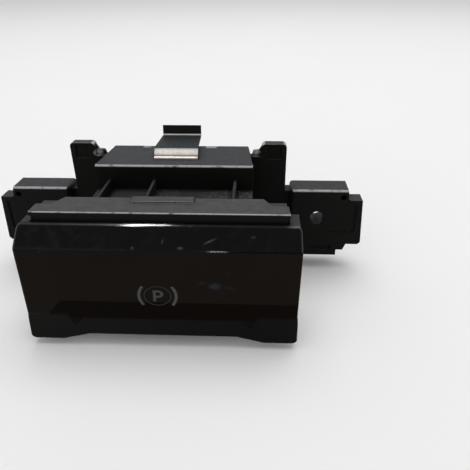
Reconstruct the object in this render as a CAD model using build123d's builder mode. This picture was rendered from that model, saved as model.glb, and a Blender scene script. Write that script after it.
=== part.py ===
from build123d import *
import os
from math import cos, hypot, pi, sin

# Electric parking brake switch with a pull handle. Sizes are in millimetres.
# The origin is midway between the two fixing holes, on the front face of the wings.
# +X is to the driver's right, -Y points at the driver and +Z is up.

# Walls and clearances
WALL = 2.0
RIB = 1.0
GAP = 0.3
SNUG = 0.1
RUNNING = 0.05

# Handle: the gloss cover, its carrier and the cheeks that hang on the pivot pins
HANDLE_W = 88.0
HANDLE_TAPER = 0.6
CREASE_Z = 12.0
CREASE_R = 2.0
BAND_RUN = 6.0
BAND_RISE = 6.2
FACE_H = 23.5
FACE_LEAN = 2.0
COVER_T = 1.8
CARRIER_T = 1.8
COVER_MIDDLE_DROP = 1.2
TONGUE_X = 28.6
TONGUE_W = 4.0
TONGUE_DROP = 3.5
CHEEK_T = 3.5
CHEEK_SETBACK = 0.3
CHEEK_R = 4.5
SHOULDER_R = 2.1
PIVOT_BACK = 14.0
PIVOT_UP = 0.7
PIN_R = 1.5
PIN_L = 11.6
LIP_DROP = 9.1
LIP_RISE = 2.1
LIP_T = 3.9
LIP_LEAN = 0.9
LIP_EDGE_R = 0.9
LIP_CORNER_R = 2.0
LIP_FLAT_HALF = 24.0
LIP_FOOT_X = 33.0
ARM_X = 12.0
ARM_W = 4.0
ARM_H = 3.0
FINGER_T = 2.6
NOSE_R = 1.8
NOSE_GAP = 0.2
HOOK_X = 24.0
HOOK_W = 4.0
HOOK_T = 1.4
HOOK_BARB = 0.6

# Housing: collar behind the handle, neck, block and the finger recess under the collar
BODY_W = 57.2
NECK_L = 20.8
NECK_DROP = 5.0
BLOCK_FRONT_Y = -7.5
BLOCK_RISE = 9.4
BLOCK_D = 22.8
BLOCK_EDGE_R = 1.0
BLOCK_TAPER = 2.2
BLOCK_BEVEL_H = 8.0
BLOCK_REAR_R = 1.2
COLLAR_BACK = 4.0
COLLAR_H = 20.7
SCOOP_DEPTH = 13.0
SCOOP_R = 10.0
FOOT_CLEAR = 2.4
SIDE_GAP = 0.5
BOSS_R = 3.6
NECK_RIB_X = (-23.6, -7.2, 22.2)
NECK_RIB_H = 4.0
EDGE_R = 0.5

# Fixing wings and the two ears that stand behind them
HOLE_SPACING = 107.8
HOLE_R = 2.75
HOLE_BOSS_R = 5.5
WING_TOP_Z = 11.7
WING_BOTTOM_Z = -16.9
WING_DEPTH = 9.7
WING_FACE_T = 2.5
WING_TIP = 18.0
TIP_DEPTH = 6.4
TIP_STEP_IN = 6.7
TIP_STEP_H = 4.2
TIP_FOOT_H = 5.2
TIP_NOTCH_H = 2.5
WING_EDGE_R = 1.2
ROOT_SETBACK = 4.1
EAR_GAP = 3.2
EAR_W = 9.3
EAR_T = 3.5
EAR_TOP_Z = 28.5
EAR_R = 1.5
EAR_SLOT = 2.1
BRIDGE_DROP = 0.6
BRIDGE_RIB = 1.3
LOCATOR_R = 1.15
GROOVE_W = 1.5
GROOVE_DEPTH = 0.6

# Top trim, the shelf between collar and handle
TRIM_T = 1.4
TRIM_LIP = 2.2
TRIM_SKIRT_H = 2.4
TRIM_SKIRT_T = 1.0
TRIM_END_D = 5.7
TRIM_STEP_X = 32.3
TRIM_STEP_RUN = 2.7
TRIM_PAD_W = 20.0
TRIM_PAD_D = 3.8
TRIM_PAD_H = 0.5
TRIM_LEG_X = 20.0
TRIM_LEG_W = 5.0
TRIM_LEG_T = 1.2

# Spring clip on the block
CLIP_W = 16.2
CLIP_TAIL_W = 15.2
CLIP_T = 0.6
CLIP_BACK = 6.3
CLIP_LEG = 3.8
CLIP_RISE = 3.8
CLIP_RUN = 2.6
CLIP_LEAF = 16.0
CLIP_SAG = 0.4
CLIP_TAB = 3.8
CLIP_BEND_R = 0.8
CLIP_CREST_R = 1.6

# Rear cover and connector
LATCH_X = 12.4
LATCH_W = 4.0
LATCH_L = 2.0
LATCH_H = 0.9
RIM_D = 1.8
RIM_T = 1.2
SOCKET_W = 20.0
SOCKET_H = 10.8
SOCKET_D = 12.0
SOCKET_WALL = 1.6
PIN_PITCH = 2.54
PIN_SQUARE = 0.64
PINS_PER_ROW = 6
HEADER_D = 6.5
HEADER_H = 6.2

# Circuit board and what is on it
BOARD_T = 1.6
BOARD_DROP = 4.3
BOARD_FRONT_GAP = 1.4
LEDGE_W = 2.6
SCREW_R = 1.1
SCREW_HEAD_R = 2.2
SCREW_HEAD_H = 1.4
SCREW_IN = 4.4
SCREW_Y = 3.0
SCREW_L = 7.0
SENSOR_X = 8.0
SENSOR_SIZE = (3.0, 2.8, 1.1)
LED_SIZE = (3.0, 2.0, 1.2)
CHIP_SIZE = (7.0, 7.0, 1.2)
CAPACITOR_X = (-17.0, 14.0)
CAPACITOR_R = 2.6
CAPACITOR_H = 5.5
RESISTOR_SIZE = (2.0, 1.25, 0.8)
RESISTOR_STEP = (4.0, 5.0)
RESISTOR_MIDDLE = (6.0, -4.0)

# Slider that the handle moves, its guides and springs
SLIDER_W = 34.2
SLIDER_L = 10.6
SLIDER_T = 4.1
SLIDER_FRONT = 4.7
NOSE_UP = 2.7
GUIDE_T = 2.0
MAGNET_SIZE = (3.0, 3.0, 2.0)
SPRING_R = 1.9
WIRE_R = 0.25
SPRING_X = 5.0
SPRING_TURNS = 5
SPRING_SIDES = 10

# Light pipe and the diffuser behind the symbol
PIPE_W = 3.0
PIPE_T = 2.2
DIFFUSER_W = 15.0
DIFFUSER_LOW = 18.8
DIFFUSER_HIGH = 6.8
STUB_W = 4.4
STUB_H = 3.4
SYMBOL_GAP = 1.2

# Rubber stops between collar and carrier
PAD_X = 22.0
PAD_DOWN = 9.7
PAD_R = 2.2
PAD_H = 1.0
PAD_STEM_R = 1.0
PAD_GAP = 0.95

# Places that follow from the sizes
body_half = BODY_W / 2
body_rear_y = BLOCK_FRONT_Y + BLOCK_D
collar_rear_y = BLOCK_FRONT_Y - NECK_L
pivot_y = collar_rear_y - COLLAR_BACK
pivot_z = CREASE_Z + PIVOT_UP
crease_y = pivot_y - PIVOT_BACK
collar_front_y = crease_y + BAND_RUN + COVER_T + 1.5
collar_top_z = CREASE_Z + BAND_RISE + 1.5
collar_bottom_z = collar_top_z - COLLAR_H
neck_top_z = collar_top_z - NECK_DROP
neck_front_y = collar_front_y + SCOOP_DEPTH
block_top_z = neck_top_z + BLOCK_RISE
cover_bottom_z = CREASE_Z - FACE_H
cover_middle_half = TONGUE_X - 0.65 * TONGUE_W
lip_bottom_z = cover_bottom_z - LIP_DROP
base_z = lip_bottom_z - FOOT_CLEAR
cheek_out = HANDLE_W / 2 - CHEEK_SETBACK
cheek_in = cheek_out - CHEEK_T
collar_half = cheek_in - SIDE_GAP
hole_x = HOLE_SPACING / 2
ear_in = body_half + EAR_GAP
ear_out = ear_in + EAR_W
wing_root_x = ear_out + EAR_SLOT
tip_x = hole_x + WING_TIP
locator_x = tip_x - 1.25 * TIP_STEP_IN
locator_z = WING_TOP_Z - 0.7 * TIP_STEP_H
slider_bottom_z = collar_bottom_z + WALL + GAP
slider_top_z = slider_bottom_z + SLIDER_T
nose_z = slider_bottom_z + NOSE_UP
slider_front_y = collar_rear_y + SLIDER_FRONT
slider_rear_y = slider_front_y + SLIDER_L
nose_y = slider_front_y + RIB + NOSE_GAP + NOSE_R
board_top_z = slider_bottom_z - BOARD_DROP
board_bottom_z = board_top_z - BOARD_T
board_front_y = neck_front_y + BOARD_FRONT_GAP
board_rear_y = body_rear_y - RIM_D - 2 * GAP
board_half = body_half - WALL - 5 * SNUG
socket_mid_z = board_top_z + HEADER_H / 2
leg_y = BLOCK_FRONT_Y + CLIP_BACK


def bar(x, y, z, mode=Mode.ADD):
    """A box from its limits along each axis, for ribs, windows and slots."""
    limits = (sorted(x), sorted(y), sorted(z))
    size = [high - low for low, high in limits]
    with Locations(tuple((high + low) / 2 for low, high in limits)):
        Box(*size, mode=mode)


def rod(start, end, radius, mode=Mode.ADD):
    """A round bar between two points."""
    run = Vector(*end) - Vector(*start)
    with BuildSketch(Plane(origin=start, z_dir=run)) as section:
        Circle(radius)
    extrude(section.sketch, amount=run.length, mode=mode)


def front_line(depth):
    """Top, crease and bottom of the handle's front in (y, z), moved back by depth."""
    band, face = hypot(BAND_RUN, BAND_RISE), hypot(FACE_LEAN, FACE_H)
    band_back = Vector(BAND_RISE, -BAND_RUN) / band
    face_back = Vector(FACE_H, -FACE_LEAN) / face
    crease = Vector(crease_y, CREASE_Z)
    turn = (band_back + face_back) / (1 + band_back.dot(face_back))
    top = crease + Vector(BAND_RUN, BAND_RISE) + band_back * depth
    bottom = crease - Vector(FACE_LEAN, FACE_H) + face_back * depth
    return [(p.X, p.Y) for p in (top, crease + turn * depth, bottom)]


def square_line(depth):
    """The same line moved back by depth, cut off straight below the cover's top edge."""
    top, crease, bottom = front_line(depth)
    cut = top[0] - front_line(0)[0][0]
    return [(top[0] - cut, top[1] - cut * BAND_RISE / BAND_RUN), crease, bottom]


def face_y(z, depth):
    """Y of the handle's lower face at height z, moved back by depth."""
    crease, bottom = front_line(depth)[1:]
    return crease[0] + (bottom[0] - crease[0]) * (crease[1] - z) / (crease[1] - bottom[1])


def body_section(wall):
    """Side outline of collar, neck and block, moved in by wall but open at the rear."""
    scoop = (neck_front_y + wall, collar_bottom_z + wall)
    with BuildSketch(Plane.YZ) as section:
        Polygon(
            (collar_front_y + wall, collar_top_z - wall),
            (collar_rear_y - wall, collar_top_z - wall),
            (collar_rear_y - wall, neck_top_z - wall),
            (BLOCK_FRONT_Y + wall, neck_top_z - wall),
            (BLOCK_FRONT_Y + wall, block_top_z - wall),
            (body_rear_y, block_top_z - wall),
            (body_rear_y, base_z + wall),
            (neck_front_y + wall, base_z + wall),
            scoop,
            (collar_front_y + wall, collar_bottom_z + wall),
            align=None,
        )
        fillet(section.vertices().sort_by_distance(scoop)[0], SCOOP_R + wall)
        if not wall:
            block_edge = (BLOCK_FRONT_Y, block_top_z)
            fillet(section.vertices().sort_by_distance(block_edge)[0], BLOCK_EDGE_R)
            rear_edge = (body_rear_y, block_top_z)
            chamfer(section.vertices().sort_by_distance(rear_edge)[0], BLOCK_REAR_R)
    return section.sketch


def wing_outline(inset, y):
    """Front outline of the right wing outside its root, moved in by inset, at depth y."""
    top_z, step_z, foot_z = WING_TOP_Z, WING_TOP_Z - TIP_STEP_H, WING_BOTTOM_Z + TIP_FOOT_H
    notch_z, step_x = WING_BOTTOM_Z + TIP_NOTCH_H, tip_x - TIP_STEP_IN
    with BuildSketch(Plane.XZ.offset(-y)) as outline:
        Polygon(
            (wing_root_x, top_z),
            (step_x, top_z),
            (step_x + RIB / 2, step_z),
            (tip_x - RIB, step_z),
            (tip_x, foot_z + RIB),
            (tip_x - RIB, foot_z),
            (tip_x - TIP_STEP_IN + RIB, foot_z),
            (tip_x - TIP_STEP_IN, notch_z),
            (tip_x - 1.4 * TIP_STEP_IN, notch_z),
            (tip_x - 1.4 * TIP_STEP_IN, WING_BOTTOM_Z),
            (wing_root_x, WING_BOTTOM_Z),
            align=None,
        )
        if inset:
            offset(amount=-inset, kind=Kind.INTERSECTION, mode=Mode.REPLACE)
        else:
            for corner in ((wing_root_x, top_z), (step_x, top_z), (step_x, notch_z)):
                nearest = outline.vertices().sort_by_distance((corner[0], y, corner[1]))[0]
                fillet(nearest, WING_EDGE_R)
    return outline.sketch


# Outer plate of the right wing, with a rim behind it, as used on both sides of the housing
with BuildPart() as wing:
    extrude(wing_outline(0, 0), amount=-WING_DEPTH)
    front_top = wing.edges().filter_by(Axis.X).group_by(Axis.Z)[-1].sort_by(Axis.Y)[0]
    fillet(front_top, WING_EDGE_R)
    extrude(wing_outline(WALL, WING_FACE_T), amount=-WING_DEPTH, mode=Mode.SUBTRACT)
    # Ribs and the screw boss inside the rim
    for x in (hole_x - HOLE_BOSS_R - RIB, hole_x + HOLE_BOSS_R + 2 * RIB):
        bar((x, x + RIB), (WING_FACE_T, WING_DEPTH - RIB), (WING_BOTTOM_Z, WING_TOP_Z))
    bar(
        (wing_root_x, tip_x - RIB),
        (WING_FACE_T, WING_DEPTH - RIB),
        (-RIB / 2, RIB / 2),
    )
    rod((hole_x, WING_FACE_T, 0), (hole_x, WING_DEPTH, 0), HOLE_BOSS_R)
    rod((locator_x, WING_FACE_T, locator_z), (locator_x, WING_DEPTH, locator_z), LOCATOR_R + RIB)
    # The tip is thinner than the rest
    bar((tip_x - TIP_STEP_IN + RIB, tip_x + WALL), (TIP_DEPTH, WING_DEPTH + WALL),
        (WING_BOTTOM_Z - WALL, WING_TOP_Z + WALL), Mode.SUBTRACT)
    rod((hole_x, -WALL, 0), (hole_x, WING_DEPTH + WALL, 0), HOLE_R, Mode.SUBTRACT)
    rod((locator_x, -WALL, locator_z), (locator_x, WING_DEPTH - RIB, locator_z),
        LOCATOR_R, Mode.SUBTRACT)
    # Groove beside the tip, the ledge line and the shallow pocket near the lower edge
    groove_x = tip_x - 4.4
    bar((groove_x, groove_x + GROOVE_W), (0, GROOVE_DEPTH), (-6.3, 5.7), Mode.SUBTRACT)
    bar((hole_x + 4.5, groove_x), (0, GROOVE_DEPTH / 2), (-6.5, -5.9), Mode.SUBTRACT)
    bar(
        (hole_x - 1.9, hole_x + 6.5),
        (0, GROOVE_DEPTH),
        (WING_BOTTOM_Z + 2.8, WING_BOTTOM_Z + 4.6),
        Mode.SUBTRACT,
    )



def bevel_sides():
    """Bevels along the block's top side edges, wider towards the rear."""
    for side in (-1, 1):
        start = Vector(side * body_half, BLOCK_FRONT_Y, block_top_z)
        inner = Vector(side * (body_half - BLOCK_TAPER), body_rear_y, block_top_z)
        lower = Vector(side * body_half, body_rear_y, block_top_z - BLOCK_BEVEL_H)
        outward = (lower - start).cross(inner - start) * side
        split(bisect_by=Plane(origin=start, z_dir=outward), keep=Keep.BOTTOM)


# Housing: one moulding with collar, neck, block, wings and ears
with BuildPart() as housing:
    extrude(body_section(0), amount=body_half, both=True)
    bevel_sides()
    bar(
        (-collar_half, collar_half),
        (collar_front_y, collar_rear_y),
        (collar_bottom_z, collar_top_z),
    )

    # Ribs on the neck floor, from the collar to the block
    for x in NECK_RIB_X:
        bar(
            (x - RIB / 2, x + RIB / 2),
            (collar_rear_y, BLOCK_FRONT_Y),
            (neck_top_z, neck_top_z + NECK_RIB_H),
        )

    # Wings: set-back root, then the outer plate with a rim behind it
    for side in (-1, 1):
        bar(
            (side * body_half, side * wing_root_x),
            (ROOT_SETBACK, WING_DEPTH),
            (WING_BOTTOM_Z, WING_TOP_Z - 2 * RIB),
        )
        bar(
            (side * body_half, side * ear_out),
            (ROOT_SETBACK, ROOT_SETBACK + EAR_T),
            (WING_BOTTOM_Z, WING_TOP_Z),
        )
        with BuildSketch(Plane.XZ.offset(-ROOT_SETBACK)) as ear_face:
            with Locations((side * (ear_in + ear_out) / 2, (WING_TOP_Z + EAR_TOP_Z) / 2)):
                Rectangle(EAR_W, EAR_TOP_Z - WING_TOP_Z)
            fillet(ear_face.vertices().group_by(Axis.Y)[-1], EAR_R)
        extrude(amount=-EAR_T)
        # Web from the block to the ear, with a sloping rib behind its top
        bar(
            (side * (body_half - WALL), side * ear_in),
            (ROOT_SETBACK, ROOT_SETBACK + EAR_T),
            (WING_TOP_Z, block_top_z - BRIDGE_DROP),
        )
        with BuildSketch(Plane.XZ.offset(-ROOT_SETBACK - WALL)):
            Polygon(
                (side * ear_in, EAR_TOP_Z - EAR_R),
                (side * (ear_in - RIB), block_top_z + BRIDGE_RIB),
                (side * body_half, block_top_z + BRIDGE_RIB * 0.8),
                (side * (body_half - RIB), block_top_z - WALL),
                (side * ear_in, block_top_z - WALL),
                align=None,
            )
        extrude(amount=-(EAR_T - WALL))
        # Shallow pocket near the ear's top
        bar(
            (side * (ear_in + WALL), side * (ear_out - WALL)),
            (ROOT_SETBACK, ROOT_SETBACK + GROOVE_DEPTH),
            (EAR_TOP_Z - 3 * WALL, EAR_TOP_Z - WALL / 2),
            Mode.SUBTRACT,
        )
    add(wing.part)
    add(mirror(wing.part, about=Plane.YZ, mode=Mode.PRIVATE))

    # The hollow behind the collar, open at the rear, and the pockets in the collar's shoulders
    extrude(body_section(WALL), amount=body_half - WALL, both=True, mode=Mode.SUBTRACT)
    for side in (-1, 1):
        bar(
            (side * body_half, side * (collar_half - WALL)),
            (collar_front_y + WALL, collar_rear_y),
            (collar_bottom_z + WALL, collar_top_z - WALL),
            Mode.SUBTRACT,
        )
        rod((side * body_half, pivot_y, pivot_z), (side * collar_half, pivot_y, pivot_z), BOSS_R)
        bar(
            (side * body_half, side * (collar_half - RIB)),
            (collar_front_y + RIB, collar_rear_y),
            (pivot_z - RIB / 2, pivot_z + RIB / 2),
        )
        rod(
            (side * (collar_half - PIN_L + SIDE_GAP + CHEEK_T - 2 * RIB), pivot_y, pivot_z),
            (side * (collar_half + RIB), pivot_y, pivot_z),
            PIN_R,
            Mode.SUBTRACT,
        )

    # Guides for the slider, hanging from the neck's ceiling, closed by the spring seat
    guide_in = SLIDER_W / 2 + GAP
    for side in (-1, 1):
        bar(
            (side * guide_in, side * (guide_in + GUIDE_T)),
            (collar_rear_y - WALL, BLOCK_FRONT_Y + WALL),
            (slider_bottom_z - GAP - 1.5, neck_top_z - WALL),
        )
        for z in (slider_bottom_z - GAP - 1.5, slider_top_z + GAP):
            bar(
                (side * (guide_in - GUIDE_T), side * guide_in),
                (collar_rear_y, BLOCK_FRONT_Y + WALL),
                (z, z + 1.5),
            )
    bar(
        (-guide_in, guide_in),
        (BLOCK_FRONT_Y + WALL / 4, BLOCK_FRONT_Y + WALL),
        (slider_bottom_z - GAP - 1.5, neck_top_z - WALL),
    )

    # Ledges that carry the circuit board, with its two screw bosses
    for side in (-1, 1):
        bar(
            (side * (body_half - WALL - LEDGE_W), side * (body_half - WALL)),
            (board_front_y + WALL, board_rear_y),
            (board_bottom_z - WALL, board_bottom_z),
        )
        screw_x = side * (body_half - WALL - SCREW_IN)
        rod((screw_x, SCREW_Y, board_bottom_z - SCREW_L - RIB),
            (screw_x, SCREW_Y, board_bottom_z), SCREW_R + RIB)
        bar(
            (screw_x, side * (body_half - WALL)),
            (SCREW_Y - RIB, SCREW_Y + RIB),
            (board_bottom_z - SCREW_L - RIB, board_bottom_z),
        )
        rod((screw_x, SCREW_Y, board_bottom_z - SCREW_L),
            (screw_x, SCREW_Y, board_bottom_z), SCREW_R, Mode.SUBTRACT)

    # Windows for the arms and the light pipe, holes for the stops, slots for the trim's legs
    for side in (-1, 1):
        bar(
            (side * (ARM_X - ARM_W / 2 - 2 * GAP), side * (ARM_X + ARM_W / 2 + 2 * GAP)),
            (collar_front_y - WALL, collar_front_y + WALL + RIB),
            (slider_top_z + GAP, slider_top_z + ARM_H + 9 * GAP),
            Mode.SUBTRACT,
        )
        rod(
            (side * PAD_X, collar_front_y - WALL, pivot_z - PAD_DOWN),
            (side * PAD_X, collar_front_y + WALL + RIB, pivot_z - PAD_DOWN),
            PAD_STEM_R,
            Mode.SUBTRACT,
        )
        bar(
            (side * (TRIM_LEG_X - TRIM_LEG_W / 2 - SNUG), side * (TRIM_LEG_X + TRIM_LEG_W / 2 + SNUG)),
            (pivot_y - TRIM_LEG_T - SNUG, pivot_y + SNUG),
            (collar_top_z - WALL - RIB, collar_top_z + WALL),
            Mode.SUBTRACT,
        )
        for z in (block_top_z - WALL / 2, base_z + WALL / 2):
            bar(
                (side * (LATCH_X - LATCH_W / 2 - SNUG), side * (LATCH_X + LATCH_W / 2 + SNUG)),
                (body_rear_y - RIM_D + SNUG - LATCH_L / 4, body_rear_y - LATCH_L / 4),
                (z - WALL, z + WALL),
                Mode.SUBTRACT,
            )
    bar(
        (-PIPE_W / 2 - SNUG, PIPE_W / 2 + SNUG),
        (collar_front_y - WALL, collar_front_y + WALL + RIB),
        (collar_bottom_z + WALL + 3 * GAP - SNUG, collar_bottom_z + WALL + 3 * GAP + PIPE_T + SNUG),
        Mode.SUBTRACT,
    )
    bar(
        (-CLIP_W / 2 - SNUG, CLIP_W / 2 + SNUG),
        (leg_y - SNUG, leg_y + CLIP_T + SNUG),
        (block_top_z - CLIP_LEG - SNUG, block_top_z + WALL),
        Mode.SUBTRACT,
    )

# Top trim: the shelf over the collar, with a raised pad at its rear edge and two clip legs
trim_z = collar_top_z + TRIM_T
with BuildPart() as top_trim:
    with BuildSketch(Plane.XY.offset(collar_top_z)):
        front_y = collar_front_y - TRIM_LIP
        with BuildLine():
            Polyline(
                (-cheek_in - SNUG, front_y),
                (cheek_in + SNUG, front_y),
                (cheek_in - 2 * SNUG, front_y + TRIM_END_D),
                (TRIM_STEP_X + TRIM_STEP_RUN, front_y + TRIM_END_D),
                (TRIM_STEP_X, collar_rear_y),
                (-TRIM_STEP_X, collar_rear_y),
                (-TRIM_STEP_X - TRIM_STEP_RUN, front_y + TRIM_END_D),
                (-cheek_in + 2 * SNUG, front_y + TRIM_END_D),
                close=True,
            )
        make_face()
    extrude(amount=TRIM_T)
    bar(
        (-collar_half, collar_half),
        (front_y, front_y + TRIM_SKIRT_T),
        (collar_top_z - TRIM_SKIRT_H, collar_top_z),
    )
    fillet(top_trim.edges().group_by(Axis.Z)[-1].sort_by(Axis.Y)[0], EDGE_R)
    bar(
        (-TRIM_PAD_W / 2, TRIM_PAD_W / 2),
        (collar_rear_y - TRIM_PAD_D, collar_rear_y),
        (trim_z, trim_z + TRIM_PAD_H),
    )
    for side in (-1, 1):
        leg = (side * (TRIM_LEG_X - TRIM_LEG_W / 2), side * (TRIM_LEG_X + TRIM_LEG_W / 2))
        bar(leg, (pivot_y - TRIM_LEG_T, pivot_y), (collar_top_z - 2 * WALL, collar_top_z))
        bar(leg, (pivot_y, pivot_y + 0.8), (collar_top_z - 2 * WALL, collar_top_z - WALL - SNUG))

# Handle cover: the gloss face with its crease, hooked into the carrier
cover_half = HANDLE_W / 2
with BuildPart() as handle_cover:
    with BuildSketch(Plane.YZ) as cover_side:
        top, crease, bottom = front_line(0)
        inner_top, inner_crease, inner_bottom = square_line(COVER_T)
        low_z = cover_bottom_z - TONGUE_DROP - WALL
        Polygon(
            top,
            crease,
            (face_y(low_z, 0), low_z),
            (face_y(low_z, COVER_T), low_z),
            inner_crease,
            inner_top,
            align=None,
        )
        fillet(cover_side.vertices().sort_by_distance(crease)[0], CREASE_R)
    extrude(amount=cover_half, both=True)
    with BuildSketch(Plane.XZ) as cover_front:
        middle_z = cover_bottom_z - COVER_MIDDLE_DROP
        right_edge = [
            (cover_half - HANDLE_TAPER / 3, CREASE_Z + BAND_RISE + SNUG),
            (cover_half, CREASE_Z),
            (cover_half - HANDLE_TAPER, cover_bottom_z),
            (TONGUE_X + TONGUE_W / 2, cover_bottom_z),
            (TONGUE_X, cover_bottom_z - TONGUE_DROP),
            (cover_middle_half, middle_z),
        ]
        left_edge = [(-x, z) for x, z in reversed(right_edge)]
        Polygon(*right_edge, *left_edge, align=None)
        fillet(cover_front.vertices().group_by(Axis.Y)[-1], SHOULDER_R)
    extrude(amount=-crease_y + 3 * WALL, both=True, mode=Mode.INTERSECT)
    for side in (-1, 1):
        for z in (CREASE_Z - 2 * WALL, cover_bottom_z + 2 * WALL):
            hook = (side * (HOOK_X - HOOK_W / 2), side * (HOOK_X + HOOK_W / 2))
            root_y = face_y(z, COVER_T)
            bar(hook, (root_y - RIB / 2, root_y + CARRIER_T + 4 * SNUG), (z, z + HOOK_T))
            bar(
                hook,
                (root_y + CARRIER_T + 3 * SNUG, root_y + CARRIER_T + RIB),
                (z - HOOK_BARB, z + HOOK_T),
            )

# Handle carrier: plate behind the cover, grip lip below it, cheeks and the two drive arms
with BuildPart() as handle_carrier:
    with BuildSketch(Plane.YZ):
        top, crease, bottom = square_line(COVER_T)
        back_top, back_crease, back_bottom = square_line(COVER_T + CARRIER_T)
        lip_top_z = cover_bottom_z - SNUG
        Polygon(
            top,
            crease,
            (face_y(lip_top_z, COVER_T), lip_top_z),
            (face_y(lip_top_z, 2 * SNUG), lip_top_z),
            (face_y(cover_bottom_z, 0) - LIP_LEAN, lip_bottom_z),
            (face_y(cover_bottom_z, 0) - LIP_LEAN + LIP_T, lip_bottom_z),
            (face_y(lip_top_z, COVER_T + CARRIER_T), lip_top_z),
            back_crease,
            back_top,
            align=None,
        )
    extrude(amount=cheek_out, both=True)
    # Cheeks, rounded about the pivot
    for side in (-1, 1):
        with BuildSketch(Plane.YZ.offset(side * cheek_in)):
            with BuildLine():
                Polyline(
                    top,
                    (crease_y + BAND_RUN + SNUG, CREASE_Z + BAND_RISE - SNUG),
                    (pivot_y, pivot_z + CHEEK_R),
                )
                CenterArc((pivot_y, pivot_z), CHEEK_R, 90, -130)
                arc_end = Vector(CHEEK_R, 0).rotate(Axis.Z, -40) + Vector(pivot_y, pivot_z)
                Polyline(
                    arc_end,
                    (face_y(lip_top_z, COVER_T + CARRIER_T) + WALL, lip_top_z),
                    (face_y(lip_top_z, COVER_T + RIB), lip_bottom_z + LIP_EDGE_R * 2),
                    (face_y(lip_top_z, COVER_T + RIB), lip_top_z),
                    (face_y(CREASE_Z - WALL, COVER_T + RIB), CREASE_Z - WALL),
                    top,
                )
            make_face()
        extrude(amount=side * CHEEK_T)
    # Front outline of plate and lip, with its raised middle and the two notches
    with BuildSketch(Plane.XZ) as lip_front:
        middle_low = lip_bottom_z + LIP_RISE
        lip_half = cover_half - HANDLE_TAPER + 2 * SNUG
        right_edge = [
            (cheek_out, CREASE_Z + BAND_RISE + SNUG),
            (cheek_out, CREASE_Z - FACE_H / 2),
            (lip_half, lip_top_z),
            (cover_half, lip_bottom_z),
            (LIP_FOOT_X, lip_bottom_z),
            (LIP_FLAT_HALF, middle_low),
        ]
        left_edge = [(-x, z) for x, z in reversed(right_edge)]
        Polygon(*right_edge, *left_edge, align=None)
        corners = lip_front.vertices().group_by(Axis.Y)[0]
        fillet(corners.filter_by(lambda v: abs(v.X) > LIP_FOOT_X + RIB), LIP_CORNER_R)
        fillet(lip_front.vertices().group_by(Axis.Y)[-1], SHOULDER_R)
    extrude(amount=-crease_y + 4 * WALL, both=True, mode=Mode.INTERSECT)
    # Notches that the cover's tongues and its lower middle part go into
    with BuildSketch(Plane.XZ.offset(-face_y(lip_top_z, COVER_T))):
        notch = [
            (TONGUE_X + TONGUE_W / 2 + 2 * SNUG, cover_bottom_z + WALL),
            (TONGUE_X + TONGUE_W / 2 + 2 * SNUG, cover_bottom_z - SNUG),
            (TONGUE_X, cover_bottom_z - TONGUE_DROP - 3 * SNUG),
            (cover_middle_half - SNUG, cover_bottom_z - COVER_MIDDLE_DROP - SNUG),
        ]
        Polygon(*notch, *[(-x, z) for x, z in reversed(notch)], align=None)
    extrude(amount=4 * WALL, mode=Mode.SUBTRACT)
    # Window for the diffuser and slots for the cover's hooks
    bar(
        (-DIFFUSER_W / 2 - SNUG, DIFFUSER_W / 2 + SNUG),
        (crease_y - 2 * WALL, crease_y + 3 * WALL),
        (CREASE_Z - DIFFUSER_LOW - SNUG, CREASE_Z - DIFFUSER_HIGH + SNUG),
        Mode.SUBTRACT,
    )
    for side in (-1, 1):
        for z in (CREASE_Z - 2 * WALL, cover_bottom_z + 2 * WALL):
            bar(
                (side * (HOOK_X - HOOK_W / 2 - SNUG), side * (HOOK_X + HOOK_W / 2 + SNUG)),
                (crease_y - 2 * WALL, crease_y + 3 * WALL),
                (z - SNUG, z + HOOK_T + SNUG),
                Mode.SUBTRACT,
            )
        # Arm through the collar, with a finger and a round nose down into the slider
        arm = (side * (ARM_X - ARM_W / 2), side * (ARM_X + ARM_W / 2))
        arm_z = slider_top_z + 6 * GAP
        bar(arm, (face_y(arm_z, COVER_T + RIB), nose_y + FINGER_T / 2), (arm_z, arm_z + ARM_H))
        bar(arm, (nose_y - FINGER_T / 2, nose_y + FINGER_T / 2), (nose_z, arm_z + RIB))
        rod((arm[0], nose_y, nose_z), (arm[1], nose_y, nose_z), NOSE_R)
        # Stop boss that meets the rubber pad
        pad_z = pivot_z - PAD_DOWN
        rod(
            (side * PAD_X, face_y(pad_z, COVER_T + RIB), pad_z),
            (side * PAD_X, collar_front_y - PAD_H - PAD_GAP, pad_z),
            PAD_R,
        )
        # Bore in the cheek for the pivot pin
        rod(
            (side * (cheek_in - RIB), pivot_y, pivot_z),
            (side * (cheek_out - RIB), pivot_y, pivot_z),
            PIN_R + RUNNING,
            Mode.SUBTRACT,
        )

# Diffuser behind the symbol, with a stub that faces the light pipe
pipe_z = collar_bottom_z + WALL + 3 * GAP
with BuildPart() as symbol_diffuser:
    with BuildSketch(Plane.YZ):
        low_z, high_z = CREASE_Z - DIFFUSER_LOW, CREASE_Z - DIFFUSER_HIGH
        Polygon(
            (face_y(high_z, COVER_T), high_z),
            (face_y(low_z, COVER_T), low_z),
            (face_y(low_z, COVER_T + CARRIER_T), low_z),
            (face_y(high_z, COVER_T + CARRIER_T), high_z),
            align=None,
        )
    extrude(amount=DIFFUSER_W / 2, both=True)
    stub_mid = pipe_z + PIPE_T / 2
    bar(
        (-STUB_W / 2, STUB_W / 2),
        (face_y(stub_mid, COVER_T + RIB), collar_front_y - SYMBOL_GAP),
        (stub_mid - STUB_H / 2, stub_mid + STUB_H / 2),
    )
    fillet(symbol_diffuser.edges().filter_by(Axis.Y), EDGE_R)

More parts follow.
